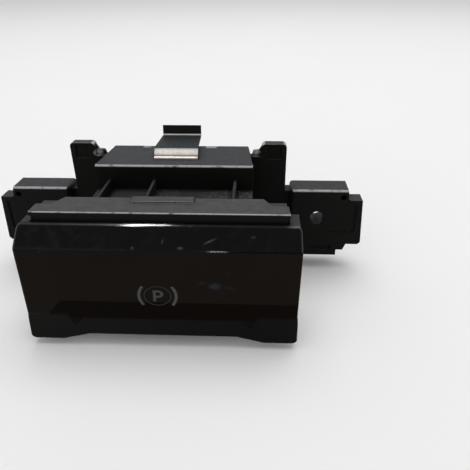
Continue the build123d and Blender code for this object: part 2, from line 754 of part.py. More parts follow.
# Light pipe from the indicator light to the collar's front
led_y = board_front_y + LED_SIZE[1] / 2 + RIB / 2
with BuildPart() as light_pipe:
    with BuildSketch(Plane.YZ):
        entry_z = board_top_z + LED_SIZE[2] + GAP
        bend_y = slider_front_y - 6 * GAP
        rise = pipe_z - entry_z
        Polygon(
            (led_y + LED_SIZE[1] / 2, entry_z),
            (led_y + LED_SIZE[1] / 2, entry_z + PIPE_T),
            (bend_y, entry_z + PIPE_T),
            (bend_y - rise, pipe_z + PIPE_T),
            (collar_front_y, pipe_z + PIPE_T),
            (collar_front_y, pipe_z),
            (bend_y - rise - RIB, pipe_z),
            (bend_y - RIB, entry_z),
            align=None,
        )
    extrude(amount=PIPE_W / 2, both=True)

# Pivot pins, pressed into the collar's bosses
pins = {}
for name, side in (("pivot_pin_left", -1), ("pivot_pin_right", 1)):
    with BuildPart() as pivot_pin:
        tip = collar_half + SIDE_GAP + CHEEK_T - RIB - SNUG
        rod(
            (side * (tip - PIN_L), pivot_y, pivot_z),
            (side * tip, pivot_y, pivot_z),
            PIN_R,
        )
        ends = pivot_pin.edges().filter_by(GeomType.CIRCLE)
        chamfer(ends, EDGE_R / 2)
    pins[name] = pivot_pin.part

# Rubber stops, pushed into the collar's front wall
with BuildPart() as stop_pads:
    for side in (-1, 1):
        place = (side * PAD_X, collar_front_y, pivot_z - PAD_DOWN)
        rod(place, (place[0], place[1] - PAD_H, place[2]), PAD_R)
        rod(place, (place[0], place[1] + WALL + RIB, place[2]), PAD_STEM_R)

# Slider with slots for the noses and pockets for the magnets
magnet_y = slider_rear_y - MAGNET_SIZE[1]
with BuildPart() as switch_slider:
    bar(
        (-SLIDER_W / 2, SLIDER_W / 2),
        (slider_front_y, slider_rear_y),
        (slider_bottom_z, slider_top_z),
    )
    for side in (-1, 1):
        bar(
            (side * (ARM_X - ARM_W / 2 - GAP), side * (ARM_X + ARM_W / 2 + GAP)),
            (nose_y - NOSE_R - NOSE_GAP, nose_y + NOSE_R + NOSE_GAP),
            (slider_bottom_z - RIB, slider_top_z + RIB),
            Mode.SUBTRACT,
        )
        bar(
            (side * (SENSOR_X - MAGNET_SIZE[0] / 2), side * (SENSOR_X + MAGNET_SIZE[0] / 2)),
            (magnet_y - MAGNET_SIZE[1] / 2, magnet_y + MAGNET_SIZE[1] / 2),
            (slider_bottom_z, slider_bottom_z + MAGNET_SIZE[2]),
            Mode.SUBTRACT,
        )
    chamfer(switch_slider.edges().filter_by(Axis.Z).group_by(Axis.Y)[-1], RIB)

with BuildPart() as slider_magnets:
    for side in (-1, 1):
        with Locations((side * SENSOR_X, magnet_y, slider_bottom_z + MAGNET_SIZE[2] / 2)):
            Box(*MAGNET_SIZE)

# Return springs that centre the slider: two in front of it and one behind
spring_z = slider_bottom_z + SLIDER_T / 2


def coil(x, start_y, end_y, radius):
    """One coil spring along Y between two faces, in short straight runs."""
    steps = SPRING_TURNS * SPRING_SIDES
    rise = (end_y - start_y - 2 * WIRE_R) / steps
    with BuildLine() as wire:
        Polyline(
            *[
                (
                    x + radius * cos(2 * pi * i / SPRING_SIDES),
                    start_y + WIRE_R + i * rise,
                    spring_z + radius * sin(2 * pi * i / SPRING_SIDES),
                )
                for i in range(steps + 1)
            ]
        )
    with BuildSketch(Plane(origin=wire.line @ 0, z_dir=wire.line % 0)) as section:
        RegularPolygon(WIRE_R, 4)
    sweep(section.sketch, path=wire.line, transition=Transition.RIGHT)


with BuildPart() as front_springs:
    for side in (-1, 1):
        coil(side * SPRING_X, collar_front_y + WALL, slider_front_y, SPRING_R)

with BuildPart() as rear_spring:
    coil(0, slider_rear_y, BLOCK_FRONT_Y + WALL / 4, SPRING_R)

# Circuit board on its ledges
screw_x = body_half - WALL - SCREW_IN
with BuildPart() as circuit_board:
    with BuildSketch(Plane.XY.offset(board_bottom_z)) as board_face:
        with Locations((0, (board_front_y + board_rear_y) / 2)):
            Rectangle(2 * board_half, board_rear_y - board_front_y)
        fillet(board_face.vertices(), RIB)
    extrude(amount=BOARD_T)
    for side in (-1, 1):
        rod((side * screw_x, SCREW_Y, board_bottom_z - RIB),
            (side * screw_x, SCREW_Y, board_top_z + RIB), SCREW_R + 2 * SNUG, Mode.SUBTRACT)

with BuildPart() as board_screws:
    for side in (-1, 1):
        rod((side * screw_x, SCREW_Y, board_bottom_z - SCREW_L + RIB),
            (side * screw_x, SCREW_Y, board_top_z), SCREW_R)
        rod((side * screw_x, SCREW_Y, board_top_z),
            (side * screw_x, SCREW_Y, board_top_z + SCREW_HEAD_H), SCREW_HEAD_R)
    chamfer(board_screws.edges().group_by(Axis.Z)[-1], SNUG * 4)

with BuildPart() as position_sensors:
    for side in (-1, 1):
        with Locations((side * SENSOR_X, magnet_y, board_top_z + SENSOR_SIZE[2] / 2)):
            Box(*SENSOR_SIZE)

with BuildPart() as indicator_light:
    with Locations((0, led_y, board_top_z + LED_SIZE[2] / 2)):
        Box(*LED_SIZE)

with BuildPart() as controller_chip:
    with Locations((-SENSOR_X, -RIB, board_bottom_z - CHIP_SIZE[2] / 2)):
        Box(*CHIP_SIZE)

# Capacitors and small chip parts on the board
with BuildPart() as board_components:
    for x in CAPACITOR_X:
        rod((x, -RIB, board_top_z), (x, -RIB, board_top_z + CAPACITOR_H), CAPACITOR_R)
    with GridLocations(*RESISTOR_STEP, 4, 2):
        with Locations((*RESISTOR_MIDDLE, board_bottom_z - RESISTOR_SIZE[2] / 2)):
            Box(*RESISTOR_SIZE)

# Connector header on the board with its angled pins
row_zs = (socket_mid_z - PIN_PITCH / 2, socket_mid_z + PIN_PITCH / 2)
header_front_y = board_rear_y - HEADER_D
pin_xs = [(i - (PINS_PER_ROW - 1) / 2) * PIN_PITCH for i in range(PINS_PER_ROW)]
half_pin = PIN_SQUARE / 2
with BuildPart() as connector_header:
    bar(
        (-SOCKET_W / 2 + RIB, SOCKET_W / 2 - RIB),
        (header_front_y, board_rear_y),
        (board_top_z, board_top_z + HEADER_H),
    )
    for z in row_zs:
        for x in pin_xs:
            bar((x - half_pin, x + half_pin), (header_front_y, board_rear_y),
                (z - half_pin, z + half_pin), Mode.SUBTRACT)

with BuildPart() as connector_pins:
    for row, z in enumerate(row_zs):
        foot_y = header_front_y - RIB - row * PIN_PITCH / 2
        for x in pin_xs:
            across = (x - half_pin, x + half_pin)
            bar(across, (foot_y - half_pin, body_rear_y + SOCKET_D - WALL),
                (z - half_pin, z + half_pin))
            bar(across, (foot_y - half_pin, foot_y + half_pin), (board_top_z, z))

# Rear cover with its rim, latches and the connector socket
with BuildPart() as rear_cover:
    mid_z = (base_z + block_top_z) / 2
    height = block_top_z - base_z
    rear_plane = Plane.XZ.offset(-body_rear_y)
    with BuildSketch(rear_plane) as plate_face:
        with Locations((0, mid_z)):
            Rectangle(BODY_W, height)
    extrude(amount=-WALL)
    bevel_sides()
    # The plate's top steps down behind the block's rounded rear edge
    bar((-BODY_W, BODY_W), (body_rear_y - WALL, body_rear_y + 2 * WALL),
        (block_top_z - BLOCK_REAR_R, block_top_z + WALL), Mode.SUBTRACT)
    with BuildSketch(rear_plane):
        with Locations((0, mid_z)):
            inner = WALL + SNUG
            Rectangle(BODY_W - 2 * inner, height - 2 * inner)
            Rectangle(
                BODY_W - 2 * (inner + RIM_T), height - 2 * (inner + RIM_T), mode=Mode.SUBTRACT
            )
    extrude(amount=RIM_D)
    # Snap bumps on the rim, in the housing's windows
    for side in (-1, 1):
        for edge_z, out in ((block_top_z, 1), (base_z, -1)):
            bar(
                (side * (LATCH_X - LATCH_W / 2), side * (LATCH_X + LATCH_W / 2)),
                (body_rear_y - RIM_D + 2 * SNUG, body_rear_y - LATCH_L / 4 - SNUG),
                (edge_z - out * (WALL + 2 * SNUG), edge_z - out * (WALL - LATCH_H)),
            )
    # Socket shell, hollow, with keying ribs and a lock ramp on top
    with BuildSketch(Plane.XZ.offset(-body_rear_y - WALL)) as socket_face:
        with Locations((0, socket_mid_z)):
            Rectangle(SOCKET_W + 2 * SOCKET_WALL, SOCKET_H + 2 * SOCKET_WALL)
            fillet(socket_face.vertices(), RIB)
            Rectangle(SOCKET_W, SOCKET_H, mode=Mode.SUBTRACT)
    extrude(amount=-SOCKET_D)
    for x in (-SOCKET_W / 4, SOCKET_W / 4):
        bar(
            (x - RIB / 2, x + RIB / 2),
            (body_rear_y + WALL, body_rear_y + WALL + SOCKET_D - RIB),
            (socket_mid_z + SOCKET_H / 2 - RIB, socket_mid_z + SOCKET_H / 2),
        )
    ramp_z = socket_mid_z + SOCKET_H / 2 + SOCKET_WALL
    with BuildSketch(Plane.YZ):
        ramp_y = body_rear_y + WALL + SOCKET_D
        Polygon((ramp_y - 1.0, ramp_z), (ramp_y - 5.0, ramp_z), (ramp_y - 5.0, ramp_z + 1.4),
                (ramp_y - 4.0, ramp_z + 1.4), align=None)
    extrude(amount=SOCKET_W / 8, both=True)
    for z in row_zs:
        for x in pin_xs:
            bar(
                (x - half_pin - 2 * SNUG, x + half_pin + 2 * SNUG),
                (body_rear_y - RIM_D, body_rear_y + WALL + RIB / 4),
                (z - half_pin - 2 * SNUG, z + half_pin + 2 * SNUG),
                Mode.SUBTRACT,
            )

# Spring clip: one bent strip, its leg in the slot behind the block's front edge
with BuildPart() as spring_clip:
    with BuildSketch(Plane.YZ):
        crest_y, crest_z = leg_y + CLIP_RUN, block_top_z + CLIP_RISE
        end_y, end_z = crest_y + CLIP_LEAF, crest_z - CLIP_SAG
        with BuildLine() as strip:
            FilletPolyline(
                (leg_y, block_top_z - CLIP_LEG),
                (leg_y, block_top_z + CLIP_T),
                (leg_y + 2 * CLIP_T, block_top_z + 2 * CLIP_T),
                (crest_y, crest_z),
                (end_y, end_z),
                (end_y + CLIP_T, end_z + CLIP_TAB),
                radius=(CLIP_BEND_R, CLIP_BEND_R, CLIP_CREST_R, CLIP_BEND_R),
            )
            offset(amount=CLIP_T, side=Side.RIGHT)
        make_face()
    extrude(amount=CLIP_W / 2, both=True)
    with BuildSketch():
        Polygon(
            (-CLIP_W / 2, leg_y - CLIP_T),
            (CLIP_W / 2, leg_y - CLIP_T),
            (CLIP_W / 2, crest_y),
            (CLIP_TAIL_W / 2, end_y + 2 * CLIP_T),
            (-CLIP_TAIL_W / 2, end_y + 2 * CLIP_T),
            (-CLIP_W / 2, crest_y),
            align=None,
        )
    extrude(amount=crest_z + 2 * CLIP_TAB, mode=Mode.INTERSECT)

pieces = {
    "housing": housing.part,
    "top_trim": top_trim.part,
    "handle_cover": handle_cover.part,
    "handle_carrier": handle_carrier.part,
    "symbol_diffuser": symbol_diffuser.part,
    "light_pipe": light_pipe.part,
    "pivot_pin_left": pins["pivot_pin_left"],
    "pivot_pin_right": pins["pivot_pin_right"],
    "stop_pads": stop_pads.part,
    "switch_slider": switch_slider.part,
    "slider_magnets": slider_magnets.part,
    "front_springs": front_springs.part,
    "rear_spring": rear_spring.part,
    "circuit_board": circuit_board.part,
    "board_screws": board_screws.part,
    "position_sensors": position_sensors.part,
    "indicator_light": indicator_light.part,
    "controller_chip": controller_chip.part,
    "board_components": board_components.part,
    "connector_header": connector_header.part,
    "connector_pins": connector_pins.part,
    "rear_cover": rear_cover.part,
    "spring_clip": spring_clip.part,
}

os.makedirs("parts", exist_ok=True)
for name, piece in pieces.items():
    piece.label = name
    export_step(piece, f"parts/{name}.step")
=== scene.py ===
"""Electric parking brake switch: finishes, printed sign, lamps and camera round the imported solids."""

import math

import bmesh
import bpy
from mathutils import Matrix, Vector
from mathutils.bvhtree import BVHTree


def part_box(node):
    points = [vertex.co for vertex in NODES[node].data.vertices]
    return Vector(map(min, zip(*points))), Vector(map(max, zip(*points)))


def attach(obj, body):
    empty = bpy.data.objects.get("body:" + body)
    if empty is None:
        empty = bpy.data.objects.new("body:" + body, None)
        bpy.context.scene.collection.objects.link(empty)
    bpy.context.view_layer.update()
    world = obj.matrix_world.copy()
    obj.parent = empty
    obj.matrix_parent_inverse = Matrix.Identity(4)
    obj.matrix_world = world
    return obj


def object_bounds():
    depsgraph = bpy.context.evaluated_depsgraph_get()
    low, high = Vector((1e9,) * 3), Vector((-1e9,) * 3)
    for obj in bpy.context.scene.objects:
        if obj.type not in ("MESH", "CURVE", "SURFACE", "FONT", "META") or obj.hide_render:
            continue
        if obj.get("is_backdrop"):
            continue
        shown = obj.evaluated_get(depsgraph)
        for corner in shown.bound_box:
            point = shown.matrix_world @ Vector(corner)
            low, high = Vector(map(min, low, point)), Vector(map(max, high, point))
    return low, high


bl_info = {
    "name": "Parking Brake Switch",
    "version": (1, 0, 0),
    "blender": (4, 5, 0),
    "location": "View3D > Sidebar > Brake Switch",
    "description": "Dresses the packed parking brake switch and sets up its studio",
    "category": "Object",
}

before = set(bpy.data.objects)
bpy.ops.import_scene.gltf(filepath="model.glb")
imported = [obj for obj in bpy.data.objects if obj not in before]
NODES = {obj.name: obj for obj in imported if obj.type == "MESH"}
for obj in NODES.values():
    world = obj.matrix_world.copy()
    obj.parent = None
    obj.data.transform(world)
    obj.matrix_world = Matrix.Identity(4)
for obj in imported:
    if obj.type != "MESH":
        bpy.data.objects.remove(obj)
MM = 0.001
MERGE = 1e-7
COVER_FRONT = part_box("handle_cover")[0].y


# ---------------------------------------------------------------- marks and places, in mm

WING_TOP = 11.7

# The cover's crease, the glint on it, and the painted dark reflection over the lowest part of its face
CREASE_Z = (11.75, 12.15)
GLINT_X = (15.6, 21.2)
LOW_REFLECTION_Z = (-12.6, -6.1)

# Ovals on the front: X, Z, turn in degrees from X towards Z, length, width and strength
SCUFFS = (
    (16.0, 14.3, 19.0, 5.8, 0.7, 1.0),
    (7.2, 12.7, 0.0, 2.6, 1.0, 1.0),
    (1.7, 14.1, 80.0, 1.9, 0.9, 0.6),
    (-7.3, 12.6, 0.0, 1.5, 1.1, 0.8),
    (29.2, 15.4, 5.0, 2.2, 0.8, 0.5),
    (9.9, 17.6, 0.0, 1.4, 0.5, 0.5),
)
SMUDGES = (
    (17.5, 0.1, 4.0, 5.6, 3.2, 1.0),
    (13.6, 1.2, 0.0, 5.0, 1.6, 0.35),
    (22.0, -0.4, -12.0, 6.0, 1.8, 0.3),
)
# Painted highlights on the webs beside the ears
WEB_GLINTS = (
    (-30.8, 24.5, 0.0, 4.2, 3.2, 1.0),
    (29.7, 24.6, 0.0, 4.4, 2.8, 1.0),
)

# Fine scratches: turn in degrees, cell size, length, width, share of the cells and shift
COVER_HAIRS = (
    ((0, 35, 0), 1.6, 9.0, 0.05, 0.16, 0.0),
    ((0, -28, 0), 1.9, 7.0, 0.045, 0.12, 11.0),
    ((0, 75, 0), 2.4, 5.0, 0.04, 0.10, 23.0),
)
MOULDED_HAIRS = (
    ((20, 30, 40), 1.8, 6.0, 0.06, 0.12, 0.0),
    ((0, -50, 10), 2.2, 8.0, 0.05, 0.1, 9.0),
)

# Boxes: a low and high place along X, Y and Z
NECK = (((-28.0, 28.0), (-28.6, -7.8), (10.0, 21.0)),)
# Where highlights are painted on the housing: the block's front edge, the wings' front edges and the
# ears' tops
HOUSING_CRESTS = (
    ((-29.9, 29.9), (-8.4, -5.6), (22.4, 24.8)),
    ((-72.0, -44.0), (-0.9, 1.2), (WING_TOP - 1.0, WING_TOP + 0.4)),
    ((44.0, 72.0), (-0.9, 1.2), (WING_TOP - 1.0, WING_TOP + 0.4)),
    ((-45.0, 45.0), (2.0, 9.0), (27.0, 28.9)),
)
# Where highlights are painted on the shelf: its front edge and its raised pad
TRIM_CRESTS = (
    ((-45.0, 45.0), (-39.6, -38.2), (20.0, 21.4)),
    ((-17.0, 13.0), (-32.7, -31.6), (21.0, 21.9)),
)
# Two painted highlights on the block's rear edge
REAR_GLINTS = (
    ((-14.9, -12.0), (12.1, 14.6), (23.6, 24.4)),
    ((9.9, 14.0), (11.9, 14.6), (23.6, 24.4)),
)


# ---------------------------------------------------------------- colours of marks

BLACK = (0.0, 0.0, 0.0, 1)
WHITE = (1.0, 1.0, 1.0, 1)
# Painted dark reflection on the cover's lowest face
PAINTED_LOW_REFLECTION = (0.0026, 0.001, 0.0002, 1)
WIPED = (0.0135, 0.0138, 0.015, 1)
HAIRLINE = (0.04, 0.04, 0.042, 1)
SCUFFED = (0.075, 0.073, 0.07, 1)
SMUDGED = (0.028, 0.032, 0.039, 1)
# Painted highlight and painted shade along the cover's crease
CREASE_HIGHLIGHT = (0.011, 0.0108, 0.011, 1)
CREASE_SHADE = (0.001, 0.001, 0.001, 1)
POLISHED = (0.065, 0.065, 0.067, 1)
# Painted highlight on rounded edges
EDGE_GLINT_GREY = (0.4, 0.4, 0.41, 1)
# Painted highlight on the webs and the block's rear spots
WEB_GLINT_GREY = (0.5, 0.5, 0.49, 1)
GREY_DIRT = (0.11, 0.105, 0.1, 1)
RUSTY_DIRT = (0.09, 0.045, 0.035, 1)
# Painted shade on the clip's ramp, foot, leaf and tab; the stain is the steel's own
CLIP_SHADE = (0.03, 0.028, 0.026, 1)
CLIP_FOOT_SHADE = (0.03, 0.022, 0.017, 1)
CLIP_STAIN = (0.1, 0.09, 0.08, 1)
CLIP_TAB_SHADE = (0.003, 0.003, 0.003, 1)
LEAF_SHADE_DARK = (0.0015, 0.003, 0.0035, 1)
LEAF_SHADE_PALE = (0.019, 0.0235, 0.026, 1)
FLOOR_DARK = (0.95, 0.95, 0.95, 1)
FLOOR_PALE = (0.97, 0.97, 0.97, 1)


# ---------------------------------------------------------------- sign, lamps and camera

# How pale each part of the sign is printed
RING_LEVEL, BRACKET_LEVEL, LETTER_LEVEL = 0.22, 1.0, 0.85
BRACKET_SWEEP = 68
# The letter's bowl against its height, and its stem against its bowl
BOWL_SHARE, STEM_SHARE = 0.328, 0.86
# Rays that find the cover behind the sign: how far above and below its centre, and from how far
PROBE_RISE, PROBE_REACH = 0.003, 0.05

# Place, target, length, power and width of the two lamps that the cover's polished edges mirror
STRIPS = {
    "streak": ((-0.285, -0.007, 1.184), (-0.005, -0.04, 0.018), 0.9, 12.0, 0.05),
    "glint": ((-0.082, -1.194, 0.598), (0.018, -0.046, 0.012), 0.07, 0.45, 0.07),
}
CAMERA_PLACE = (0.029287, -0.166144, 0.085969)
CAMERA_YAW, CAMERA_TILT, CAMERA_ROLL = 2.63294, 90 - 29.54617, -0.44178
SENSOR_WIDTH = 36.0
NEAREST, FARTHEST = 0.01, 20.0


# ---------------------------------------------------------------- shader maths


class Field:
    """A number, colour or vector that varies over a surface, on its way through a shader."""

    def __init__(self, shader, socket):
        self.shader = shader
        self.socket = socket

    def math(self, operation, *values, clamp=False):
        """One Math node on these values."""
        settings = {"operation": operation, "use_clamp": clamp}
        return self.shader.node("ShaderNodeMath", settings, *values)

    def __add__(self, other):
        return self.math("ADD", self, other)

    def __radd__(self, other):
        return self.math("ADD", other, self)

    def __sub__(self, other):
        return self.math("SUBTRACT", self, other)

    def __rsub__(self, other):
        return self.math("SUBTRACT", other, self)

    def __mul__(self, other):
        return self.math("MULTIPLY", self, other)

    def __rmul__(self, other):
        return self.math("MULTIPLY", other, self)

    def __abs__(self):
        return self.math("ABSOLUTE", self)

    def clamped(self):
        """The value held between 0 and 1."""
        return self.math("ADD", self, 0.0, clamp=True)

    def step(self, start, end):
        """0 below start and 1 above end, smooth between them."""
        settings = {"interpolation_type": "SMOOTHSTEP", "clamp": True}
        return self.shader.node("ShaderNodeMapRange", settings, self, start, end, 0.0, 1.0)


class Shader:
    """A node tree, emptied, and the one method that adds nodes to it."""

    def __init__(self, tree):
        self.tree = tree
        self.tree.nodes.clear()

    def node(self, kind, settings=None, *values, out=0, **named):
        """A node of that kind, its settings first, then its sockets' values or links."""
        made = self.tree.nodes.new(kind)
        for name, value in (settings or {}).items():
            setattr(made, name, value)
        for key, value in [*enumerate(values), *named.items()]:
            if value is not None:
                self.feed(made.inputs[key], value)
        return Field(self, made.outputs[out]) if len(made.outputs) else None

    def feed(self, socket, value):
        """Sets a socket, or links a field to it."""
        if isinstance(value, Field):
            self.tree.links.new(value.socket, socket)
        else:
            socket.default_value = value


class Finish(Shader):
    """One material, and the patterns that make it."""

    def __init__(self, name):
        self.material = bpy.data.materials.new(name)
        self.material.use_nodes = True
        super().__init__(self.material.node_tree)
        surface = self.node("ShaderNodeBsdfPrincipled")
        self.surface = surface.socket.node
        self.node("ShaderNodeOutputMaterial", None, surface)
        place = self.node("ShaderNodeTexCoord", out="Object")
        self.place = self.vector("SCALE", place, scale=1 / MM)

    def vector(self, operation, *values, scale=None, out=0):
        """One Vector Math node."""
        settings = {"operation": operation}
        return self.node("ShaderNodeVectorMath", settings, *values, out=out, Scale=scale)

    def mix(self, first, second, share):
        """A colour between two colours."""
        # A Mix node's colours are its seventh and eighth sockets
        settings = {"data_type": "RGBA"}
        return self.node("ShaderNodeMix", settings, share, *[None] * 5, first, second, out=2)

    def between(self, colour, low, high, share):
        """A colour between a darker and a lighter shade of it."""
        return self.mix(shade(colour, low), shade(colour, high), share)

    def layers(self, base, *coats):
        """A colour with others laid over it in turn, each where its share says."""
        for colour, share in coats:
            base = self.mix(base, colour, share)
        return base

    def turned(self, angles=(0.0, 0.0, 0.0), stretch=(1.0, 1.0, 1.0), shift=(0.0, 0.0, 0.0)):
        """The place on the piece in mm, shifted, turned and stretched."""
        turn = tuple(math.radians(angle) for angle in angles)
        settings = {"vector_type": "POINT"}
        return self.node("ShaderNodeMapping", settings, self.place, shift, turn, stretch)

    def noise(self, size, detail=2.0, rough=0.5, place=None):
        """Cloudy variation with patches of about that size in mm."""
        values = {"Scale": 1.0 / size, "Detail": detail, "Roughness": rough}
        return self.node("ShaderNodeTexNoise", None, place or self.place, **values)

    def cells(self, size, place=None, out="Distance"):
        """Cells of about that size in mm."""
        return self.node("ShaderNodeTexVoronoi", None, place or self.place, out=out, Scale=1.0 / size)

    def picked(self, size, place, share):
        """1 in that share of the cells and 0 in the others."""
        colour = self.cells(size, place, out="Color")
        return self.part(colour, "X").step(1 - share, 1 - share + 0.01)

    def part(self, vector, axis):
        """One component of a vector."""
        return self.node("ShaderNodeSeparateXYZ", None, vector, out="XYZ".index(axis))

    def specks(self, size, radius, share, shift=0.0):
        """Small round dots in that share of the cells."""
        place = self.turned(shift=(shift, shift * 0.7, shift * 1.3))
        dots = 1 - self.cells(size, place).step(radius * 0.5, radius)
        return dots * self.picked(size, place, share)

    def scratches(self, angles, size, length, width, share, shift):
        """Fine straight lines along local X, of that length and width, in that share of the cells."""
        stretch = (1 / length, 1 / size, 1 / size)
        place = self.turned(angles, stretch, (shift, shift * 0.3, shift * 1.7))
        place = self.vector("ADD", place, self.noise(9.0, 1.0) * 0.25)
        line = 1 - self.cells(1.0, place).step(width * 0.4 / size, width / size)
        return line * self.picked(1.0, place, share)

    def soft(self, radius):
        """The surface's normal, with edges rounded to that radius in mm."""
        return self.node("ShaderNodeBevel", {"samples": 6}, radius * MM)

    def edges(self, soft):
        """1 along edges and 0 on flats, from the rounded normal."""
        sharp = self.node("ShaderNodeNewGeometry", out="True Normal")
        return (1 - self.vector("DOT_PRODUCT", soft, sharp, out="Value")).step(0.01, 0.12)

    def open(self, reach):
        """1 on open faces and 0 in pockets narrower than that reach in mm."""
        settings, values = {"samples": 6}, {"Distance": reach * MM}
        return self.node("ShaderNodeAmbientOcclusion", settings, out="AO", **values).step(0.66, 0.92)

    def within(self, axis, low, high, blur=0.3):
        """1 between two places along an axis."""
        at = self.part(self.place, axis)
        return at.step(low - blur, low + blur) * (1 - at.step(high - blur, high + blur))

    def boxed(self, boxes, blur=0.2):
        """1 inside these boxes."""
        inside = 0.0
        for box in boxes:
            spans = [self.within(axis, *span, blur) for axis, span in zip("XYZ", box)]
            inside = spans[0] * spans[1] * spans[2] + inside
        return inside

    def dabs(self, ovals):
        """Oval marks on the front that fade outwards."""
        marks = 0.0
        for x, z, turn, length, width, strength in ovals:
            settings, radii = {"vector_type": "TEXTURE"}, (length / 2, 1e4, width / 2)
            turned = (0, math.radians(-turn), 0)
            place = self.node("ShaderNodeMapping", settings, self.place, (x, 0, z), turned, radii)
            oval = 1 - self.vector("LENGTH", place, out="Value").step(0.05, 1.0)
            marks = oval * strength + marks
        return marks

    def bump(self, height, strength, distance, soft):
        """Bump from a height, over the rounded normal."""
        values = {"Strength": strength, "Distance": distance * MM, "Height": height, "Normal": soft}
        self.set(Normal=self.node("ShaderNodeBump", **values))

    def set(self, **values):
        """Sets or links the surface's sockets, named with _ for a space."""
        for name, value in values.items():
            self.feed(self.surface.inputs[name.replace("_", " ")], value)

    def on(self, *nodes):
        """Puts the finish on these CAD nodes or pieces."""
        for node in nodes:
            mesh = (NODES[node] if isinstance(node, str) else node).data
            mesh.materials.clear()
            mesh.materials.append(self.material)


def shade(colour, amount):
    """A colour lightened or darkened by a factor."""
    return (*(min(1.0, c * amount) for c in tuple(colour)[:3]), 1.0)


# ---------------------------------------------------------------- sizes and colours


def colour_prop(name, description, default):
    """A colour a user may change."""
    return bpy.props.FloatVectorProperty(
        name=name, description=description, default=default, size=3, min=0, max=1, subtype="COLOR"
    )


def length_prop(name, description, default, low=0.0):
    """A length a user may change, in metres."""
    return bpy.props.FloatProperty(
        name=name, description=description, default=default, min=low, precision=5, unit="LENGTH"
    )


def level_prop(name, description, default, low=0.0):
    """A strength or share a user may change."""
    return bpy.props.FloatProperty(name=name, description=description, default=default, min=low)


class SwitchColours(bpy.types.PropertyGroup):
    """Base colours of the finishes."""

    cover: colour_prop("Cover", "Gloss black of the handle's upper band", (0.0045, 0.0044, 0.0044))
    # The face's brownish black is partly its own colour and partly a painted brownish reflection
    face: colour_prop("Face", "Brownish black of the handle's lower face", (0.0088, 0.0064, 0.0048))
    grip: colour_prop("Grip", "Matte black of the lip and cheeks", (0.0046, 0.0041, 0.0037))
    housing: colour_prop("Housing", "Moulded black of the housing", (0.0045, 0.0043, 0.0038))
    # Dust with a painted sheen on top faces, where the overhead light falls; the trim's colour is the
    # same on the shelf
    dust_and_sheen: colour_prop("Film", "Thin grey film on the black top faces", (0.045, 0.048, 0.0515))
    trim: colour_prop("Trim", "Grey film on the shelf over the collar", (0.073, 0.073, 0.0735))
    steel: colour_prop("Steel", "Spring steel of the clip", (0.5, 0.475, 0.45))
    sign: colour_prop("Sign", "Pale print of the pictogram", (0.066, 0.064, 0.062))
    dust: colour_prop("Dust", "Specks of dust", (0.16, 0.14, 0.13))
    board: colour_prop("Board", "Solder mask of the circuit board", (0.01, 0.075, 0.03))


class SignSizes(bpy.types.PropertyGroup):
    """The pictogram printed on the cover."""

    height: length_prop("Height", "Height of the sign's centre in the frame", -0.00368, -0.01)
    offset: length_prop("Offset", "How far the sign's centre is to the left", 0.00065)
    ring: length_prop("Ring radius", "Middle of the ring's line", 0.00425)
    ring_line: length_prop("Ring line", "Width of the ring's line", 0.0004)
    bracket: length_prop("Bracket radius", "Middle of the two outer arcs", 0.0076)
    reach: length_prop("Bracket reach", "From the sign's centre to the middle of an outer arc", 0.0059)
    bracket_line: length_prop("Bracket line", "Width of the two outer arcs", 0.00095)
    letter: length_prop("Letter height", "Height of the letter", 0.00505)
    stroke: length_prop("Letter stroke", "Width of the letter's strokes", 0.0009)
    proud: length_prop("Thickness", "How far the print stands on the cover", 0.00003)
    tall: level_prop("Tallness", "Height of the sign against its width", 0.79, 0.1)


class StageSizes(bpy.types.PropertyGroup):
    """Floor, lamps and camera."""

    floor: length_prop("Floor radius", "Radius of the pale floor", 6.0)
    lens: length_prop("Lens", "Focal length of the camera", 0.0362326)
    sky: level_prop("Sky", "Strength of the world", 0.55)
    key: level_prop("Key", "Power of the overhead lamp", 11.0)
    fill: level_prop("Fill", "Power of the front lamp", 1.5)


def sizes(name):
    """One of the scene's groups of sizes or colours."""
    return getattr(bpy.context.scene, "brake_switch_" + name)


# ---------------------------------------------------------------- mesh helpers


def settle(name, mesh, body):
    """Makes a piece of a bmesh, with its normals outwards, and lets it ride on a body."""
    bmesh.ops.remove_doubles(mesh, verts=mesh.verts, dist=MERGE)
    bmesh.ops.recalc_face_normals(mesh, faces=mesh.faces)
    piece = placed(name, mesh)
    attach(piece, body)
    return piece


def placed(name, mesh):
    """Puts a bmesh into the scene as an object of its own."""
    data = bpy.data.meshes.new(name)
    mesh.to_mesh(data)
    mesh.free()
    made = bpy.data.objects.new(name, data)
    bpy.context.scene.collection.objects.link(made)
    return made


def surface_of(node):
    """A tree that rays can hit on a CAD node."""
    mesh = NODES[node].data
    return BVHTree.FromPolygons([v.co for v in mesh.vertices], [p.vertices for p in mesh.polygons])


def arc(mesh, line, radius, start, sweep, steps, middle=(0.0, 0.0)):
    """A flat arc in the XZ plane, as wide as its line; angles in degrees from +X towards +Z."""
    middle = Vector((middle[0], 0, middle[1]))
    turn = Matrix.Rotation(-math.radians(start), 3, "Y")
    radii = (radius - line / 2, radius + line / 2)
    ends = [mesh.verts.new(middle + turn @ Vector((r, 0, 0))) for r in radii]
    edge = mesh.edges.new(ends)
    bmesh.ops.spin(
        mesh,
        geom=[*ends, edge],
        cent=middle,
        axis=(0, -1, 0),
        angle=math.radians(sweep),
        steps=steps,
        use_merge=sweep >= 360,
    )


def strip(mesh, low, high):
    """A flat rectangle in the XZ plane between two corners."""
    made = bmesh.ops.create_grid(mesh, x_segments=1, y_segments=1, size=0.5)["verts"]
    middle = ((low[0] + high[0]) / 2, 0, (low[1] + high[1]) / 2)
    place = Matrix.Translation(middle) @ Matrix.Diagonal((high[0] - low[0], 1, high[1] - low[1], 1))
    bmesh.ops.transform(mesh, matrix=place @ Matrix.Rotation(math.radians(90), 4, "X"), verts=made)


